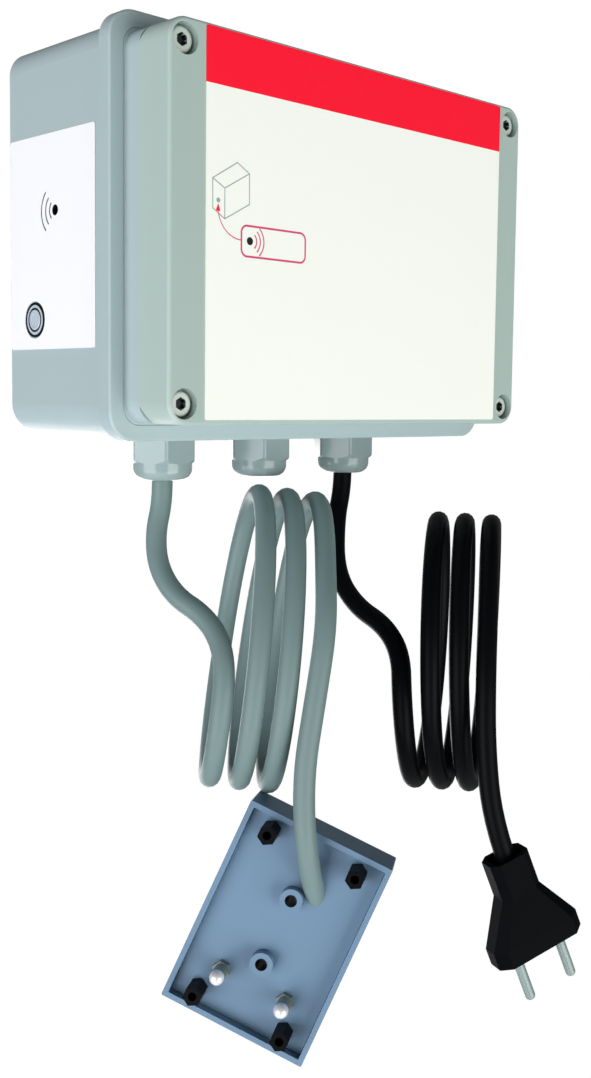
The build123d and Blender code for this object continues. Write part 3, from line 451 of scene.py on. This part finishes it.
def draw_front(x, y, z):
    """The band, the drawing of the box, and the sound symbol with its arrow."""
    box = nearest([to_line(x, z, start, end) for start, end in BOX_LINES]) < THIN_LINE
    frame_line = to_frame(x, z, *SYMBOL_FRAME) < FRAME_LINE
    rings = nearest([to_circle(x, z, SYMBOL_CENTRE, radius) for radius in SYMBOL_ARCS])
    arcs = (rings < ARC_LINE) * beside(x - SYMBOL_CENTRE[0], z - SYMBOL_CENTRE[1])
    dot = (x - SYMBOL_CENTRE[0]).length(z - SYMBOL_CENTRE[1]) < DOT_RADIUS
    stem = (to_circle(x, z, ARROW_CENTRE, ARROW_RADIUS) < THIN_LINE) * (
        (x < ARROW_CENTRE[0]) * (z < ARROW_TIP[1] - ARROW_HEAD[0])
    )
    down = ARROW_TIP[1] - z
    head = ((x - ARROW_TIP[0]).math("ABSOLUTE") < down * (ARROW_HEAD[1] / ARROW_HEAD[0])) * (
        down < ARROW_HEAD[0]
    )
    spot = (x - BOX_SPOT[0]).length(z - BOX_SPOT[1]) < SPOT_RADIUS
    return [
        (z > BAND_BOTTOM, RED),
        (box, PALE_INK),
        (spot, PALE_INK),
        (frame_line, MAGENTA),
        (arcs, MAGENTA),
        (stem, MAGENTA),
        (head, RED),
        (dot, INK),
    ]


dress("front_label", sheet_material("front print", PAPER, draw_front))
print("lines in the drawing of the box:", len(BOX_LINES))

# %% [markdown]
# ## The side label
#
# The left side's sheet is white. Behind the buzzer's port, three arcs say that sound comes out
# there. The port goes on through the box's wall, where hardly any light reaches, so its opening and
# its walls are painted in shade.

# %% Side label
PORT = (-31.6, 8.7)
PORT_ARCS = (3.6, 6.2, 9.0)
PORT_RIM = 1.9
PORT_LINE = 0.3


def draw_side(x, y, z):
    """Three printed arcs behind the port, and painted shade over the port's opening."""
    rings = nearest([to_circle(y, z, PORT, radius) for radius in PORT_ARCS])
    arcs = (rings < PORT_LINE) * beside(y - PORT[0], z - PORT[1])
    # Painted shade: the port's opening drawn dark in ink
    port_shade = (y - PORT[0]).length(z - PORT[1]) < PORT_RIM
    return [(arcs, INK), (port_shade, INK)]


def port_wall_shade(x, y, z, base):
    """Painted shade on the walls where the port goes through the box's left side."""
    inside = (y - PORT[0]).length(z - PORT[1]) < PORT_RIM
    return (inside * (x < 0.0)).over(BORE_SHADE, base)


dress("side_label", sheet_material("side print", SIDE_PAPER, draw_side))
# Painted shade inside the port
repaint(housing_finish, port_wall_shade)
print("arcs at the port:", len(PORT_ARCS))

# %% [markdown]
# ## Cables
#
# A cable is a soft sheath with a round section. Each one here is a single NURBS curve with a round
# bevel: straight out of its gland, through a coil of nearly three turns, and down to the sensor or
# the plug. The coil's points come from a loop. A curve of this kind runs a little inside its points, so
# they lie a little outside the coil's line.

# %% Cable routes
CABLE = 8.0
POINTS_A_TURN = 16
FIRST_TURN = -0.63
LAST_TURN = 2.2

SENSOR_UPPER = [
    (-48.0, -32.5, -87.4), (-48.0, -32.5, -95.9), (-51.3, -32.7, -107.3), (-53.6, -37.3, -119.8),
    (-52.8, -46.8, -129.9), (-49.1, -58.7, -135.5), (-48.4, -68.4, -143.6), (-50.6, -74.4, -155.0),
    (-53.1, -74.7, -171.1),
]
SENSOR_LOWER = [
    (-14.5, -88.3, -119.0), (-24.0, -99.0, -138.0), (-30.0, -100.0, -163.0),
    (-34.0, -98.0, -192.0), (-32.0, -98.5, -223.0), (-20.3, -91.7, -242.4),
]
MAINS_UPPER = [
    (48.0, -32.5, -87.4), (48.0, -32.5, -94.4), (44.0, -33.0, -108.0), (35.8, -41.6, -129.2),
    (31.6, -58.2, -141.4), (30.4, -76.3, -146.9), (26.9, -88.6, -156.1), (22.3, -93.8, -171.9),
    (24.5, -94.0, -190.4),
]
MAINS_LOWER = [
    (46.2, -116.8, -137.2), (38.0, -123.0, -160.0), (35.0, -126.0, -187.0),
    (35.08, -130.15, -215.19), (40.55, -134.14, -232.94),
]
SENSOR_COIL = {
    "centre": (-20.93, -47.08, -147.58), "drift": (8.63, -7.17, -1.35),
    "tall": (18.07, 13.08, 51.52), "deep": (-19.77, -31.84, 15.01),
}
MAINS_COIL = {
    "centre": (58.1, -78.95, -159.6), "drift": (7.46, -8.28, -0.42),
    "tall": (7.8, 5.65, 52.96), "deep": (-32.38, -22.48, 7.17),
}


def coil_points(coil):
    """Control points along a coil's turns, a little outside its line."""
    outward = 1 / cos(pi / POINTS_A_TURN)
    centre, drift, tall, deep = [Vector(coil[key]) for key in ("centre", "drift", "tall", "deep")]
    first = round(FIRST_TURN * POINTS_A_TURN) + 1
    last = round(LAST_TURN * POINTS_A_TURN)
    points = []
    for step in range(first, last):
        turn = step / POINTS_A_TURN
        angle = 2 * pi * turn
        ring = (tall * cos(angle) + deep * sin(angle)) * outward
        points.append(tuple(centre + drift * turn + ring))
    return points


print("points in a coil:", len(coil_points(SENSOR_COIL)))


# %% Cable curves
def cable(name, route, material):
    """A round cable along one smooth NURBS spline."""
    curve = bpy.data.curves.new(name, "CURVE")
    curve.dimensions = "3D"
    curve.resolution_u = 6
    curve.bevel_depth = CABLE / 2 * MM
    curve.bevel_resolution = 5
    curve.use_fill_caps = True
    spline = curve.splines.new("NURBS")
    spline.points.add(len(route) - 1)
    for point, position in zip(spline.points, route):
        point.co = [value * MM for value in position] + [1.0]
    spline.order_u = 3
    spline.use_endpoint_u = True
    curve.materials.append(material)
    piece = bpy.data.objects.new(name, curve)
    bpy.context.collection.objects.link(piece)
    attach(piece, "module")
    return piece, spline.calc_length()


grey_cable_finish = finish(
    "grey sheath", CABLE_GREY, 0.46, grain=0.003, wear=0.06, specular=0.3
)
black_cable_finish = finish(
    "black sheath", CABLE_BLACK, 0.4, grain=0.003, wear=0.06, specular=0.05
)

sensor_cable, sensor_length = cable(
    "sensor_cable", SENSOR_UPPER + coil_points(SENSOR_COIL) + SENSOR_LOWER, grey_cable_finish
)
mains_cable, mains_length = cable(
    "mains_cable", MAINS_UPPER + coil_points(MAINS_COIL) + MAINS_LOWER, black_cable_finish
)
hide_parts("sensor_cable_upper", "sensor_cable_coil", "sensor_cable_lower")
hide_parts("mains_cable_upper", "mains_cable_coil", "mains_cable_lower")
dress("sensor_cable_tail", grey_cable_finish)
dress("mains_cable_tail", black_cable_finish)
print("sensor cable:", round(sensor_length, 3), "m, mains cable:", round(mains_length, 3), "m")

# %% Cable facts
print("cables as curves: 2")

# %% [markdown]
# ## Floor, light and camera
#
# The object hangs in a white studio. The floor and the surroundings look white to the camera, but
# give only soft light. One large lamp stands to the left and one in front, both a little below the
# object, and the soft light around fades towards the top, so the left sides are the lightest and
# what faces upwards is dark. A weaker lamp behind, low on the right, lights the sides that the photograph
# doesn't show.

# %% Studio
FLOOR = -1.5
FLOOR_SIZE = 12
SHADOW_SHARE = 0.12
FLOOR_GLOW = 1.12
STUDIO = colour(236, 237, 238)


def studio_white(name, shade_share, glow):
    """A material that looks white to the camera but keeps soft shadows."""
    material = bpy.data.materials.new(name)
    material.use_nodes = True
    tree = material.node_tree
    surface = tree.nodes["Principled BSDF"]
    surface.inputs["Base Color"].default_value = STUDIO
    surface.inputs["Roughness"].default_value = 0.9
    surface.inputs["Specular IOR Level"].default_value = 0.0
    seen = Shade(tree, tree.nodes.new("ShaderNodeLightPath").outputs["Is Camera Ray"])
    light = seen.node("ShaderNodeEmission", {"Color": WHITE, "Strength": glow})
    mix = tree.nodes.new("ShaderNodeMixShader")
    connect(tree, seen * (1 - shade_share), mix.inputs[0])
    tree.links.new(surface.outputs[0], mix.inputs[1])
    tree.links.new(light.socket, mix.inputs[2])
    tree.links.new(mix.outputs[0], tree.nodes["Material Output"].inputs["Surface"])
    return material


bpy.ops.mesh.primitive_plane_add(size=FLOOR_SIZE, location=(0, 0, FLOOR))
floor = bpy.context.object
floor.name = "floor"
floor.data.materials.append(studio_white("white floor", SHADOW_SHARE, FLOOR_GLOW))

world = bpy.data.worlds.new("studio")
world.use_nodes = True
bpy.context.scene.world = world
sky = world.node_tree
seen_white = Shade(sky, sky.nodes.new("ShaderNodeLightPath").outputs["Is Camera Ray"])
AMBIENT = 0.27
OVERHEAD = 0.22
direction = Shade(sky, sky.nodes.new("ShaderNodeTexCoord").outputs["Generated"])
height = direction.node("ShaderNodeSeparateXYZ", {0: direction}, output=2)
soft = (AMBIENT - height * OVERHEAD).clamped()
background = sky.nodes["Background"]
background.inputs["Color"].default_value = WHITE
connect(sky, seen_white * (1 - soft) + soft, background.inputs["Strength"])
print("floor at", FLOOR, "m")


# %% Lamps
def lamp(name, position, target, size, watts, tint):
    """A square soft lamp that faces a point."""
    light = bpy.data.lights.new(name, "AREA")
    light.size = size
    light.energy = watts
    light.color = tint
    piece = bpy.data.objects.new(name, light)
    piece.location = position
    piece.rotation_euler = (Vector(target) - Vector(position)).to_track_quat("-Z", "Y").to_euler()
    bpy.context.collection.objects.link(piece)
    return piece


CENTRE = (0, -0.05, -0.1)
# Each lamp's place, the width of its square in metres, its watts and its tint
LAMPS = {
    "key": ((-1.9, -0.1, -0.55), 1.8, 41, (0.99, 0.97, 1.0)),
    "fill": ((0.15, -1.8, -0.8), 1.5, 31.5, (0.99, 1.0, 0.97)),
    "back": ((0.9, 1.9, -0.9), 1.6, 26, (1.0, 1.0, 1.0)),
}
for name, (position, size, watts, tint) in LAMPS.items():
    lamp(name, position, CENTRE, size, watts, tint)

# %% [markdown]
# ## The camera
#
# The photograph looks up slightly at the enclosure from its left. The camera's place and its three
# directions were worked out from the enclosure's straight edges, and the picture is a crop of a
# wider view, which the lens shift repeats.

# %% Camera
EYE = Vector((-0.33025, -0.4187, -0.0551))
FORWARD = Vector((0.7075, 0.7019, -0.0829)).normalized()
RIGHT = Vector((0.7051, -0.7089, 0.0153)).normalized()
FRAME_WIDTH, FRAME_HEIGHT = 591, 1078
FOCAL_PIXELS = 1241.67
AXIS_PIXEL = (359.76, 501.02)
SENSOR_HEIGHT = 36.0

view = bpy.data.cameras.new("camera")
view.sensor_fit = "VERTICAL"
view.sensor_height = SENSOR_HEIGHT
view.lens = FOCAL_PIXELS * SENSOR_HEIGHT / FRAME_HEIGHT
view.shift_x = (FRAME_WIDTH / 2 - AXIS_PIXEL[0]) / FRAME_HEIGHT
view.shift_y = (AXIS_PIXEL[1] - FRAME_HEIGHT / 2) / FRAME_HEIGHT
view.clip_start = 0.01
camera = bpy.data.objects.new("camera", view)
upward = RIGHT.cross(FORWARD).normalized()
RIGHT = FORWARD.cross(upward)
turned = Matrix((RIGHT, upward, -FORWARD)).transposed()
camera.matrix_world = Matrix.Translation(EYE) @ turned.to_4x4()
bpy.context.collection.objects.link(camera)
bpy.context.scene.camera = camera
bpy.context.scene.view_settings.view_transform = "Standard"
print("lens:", round(view.lens, 2), "mm")
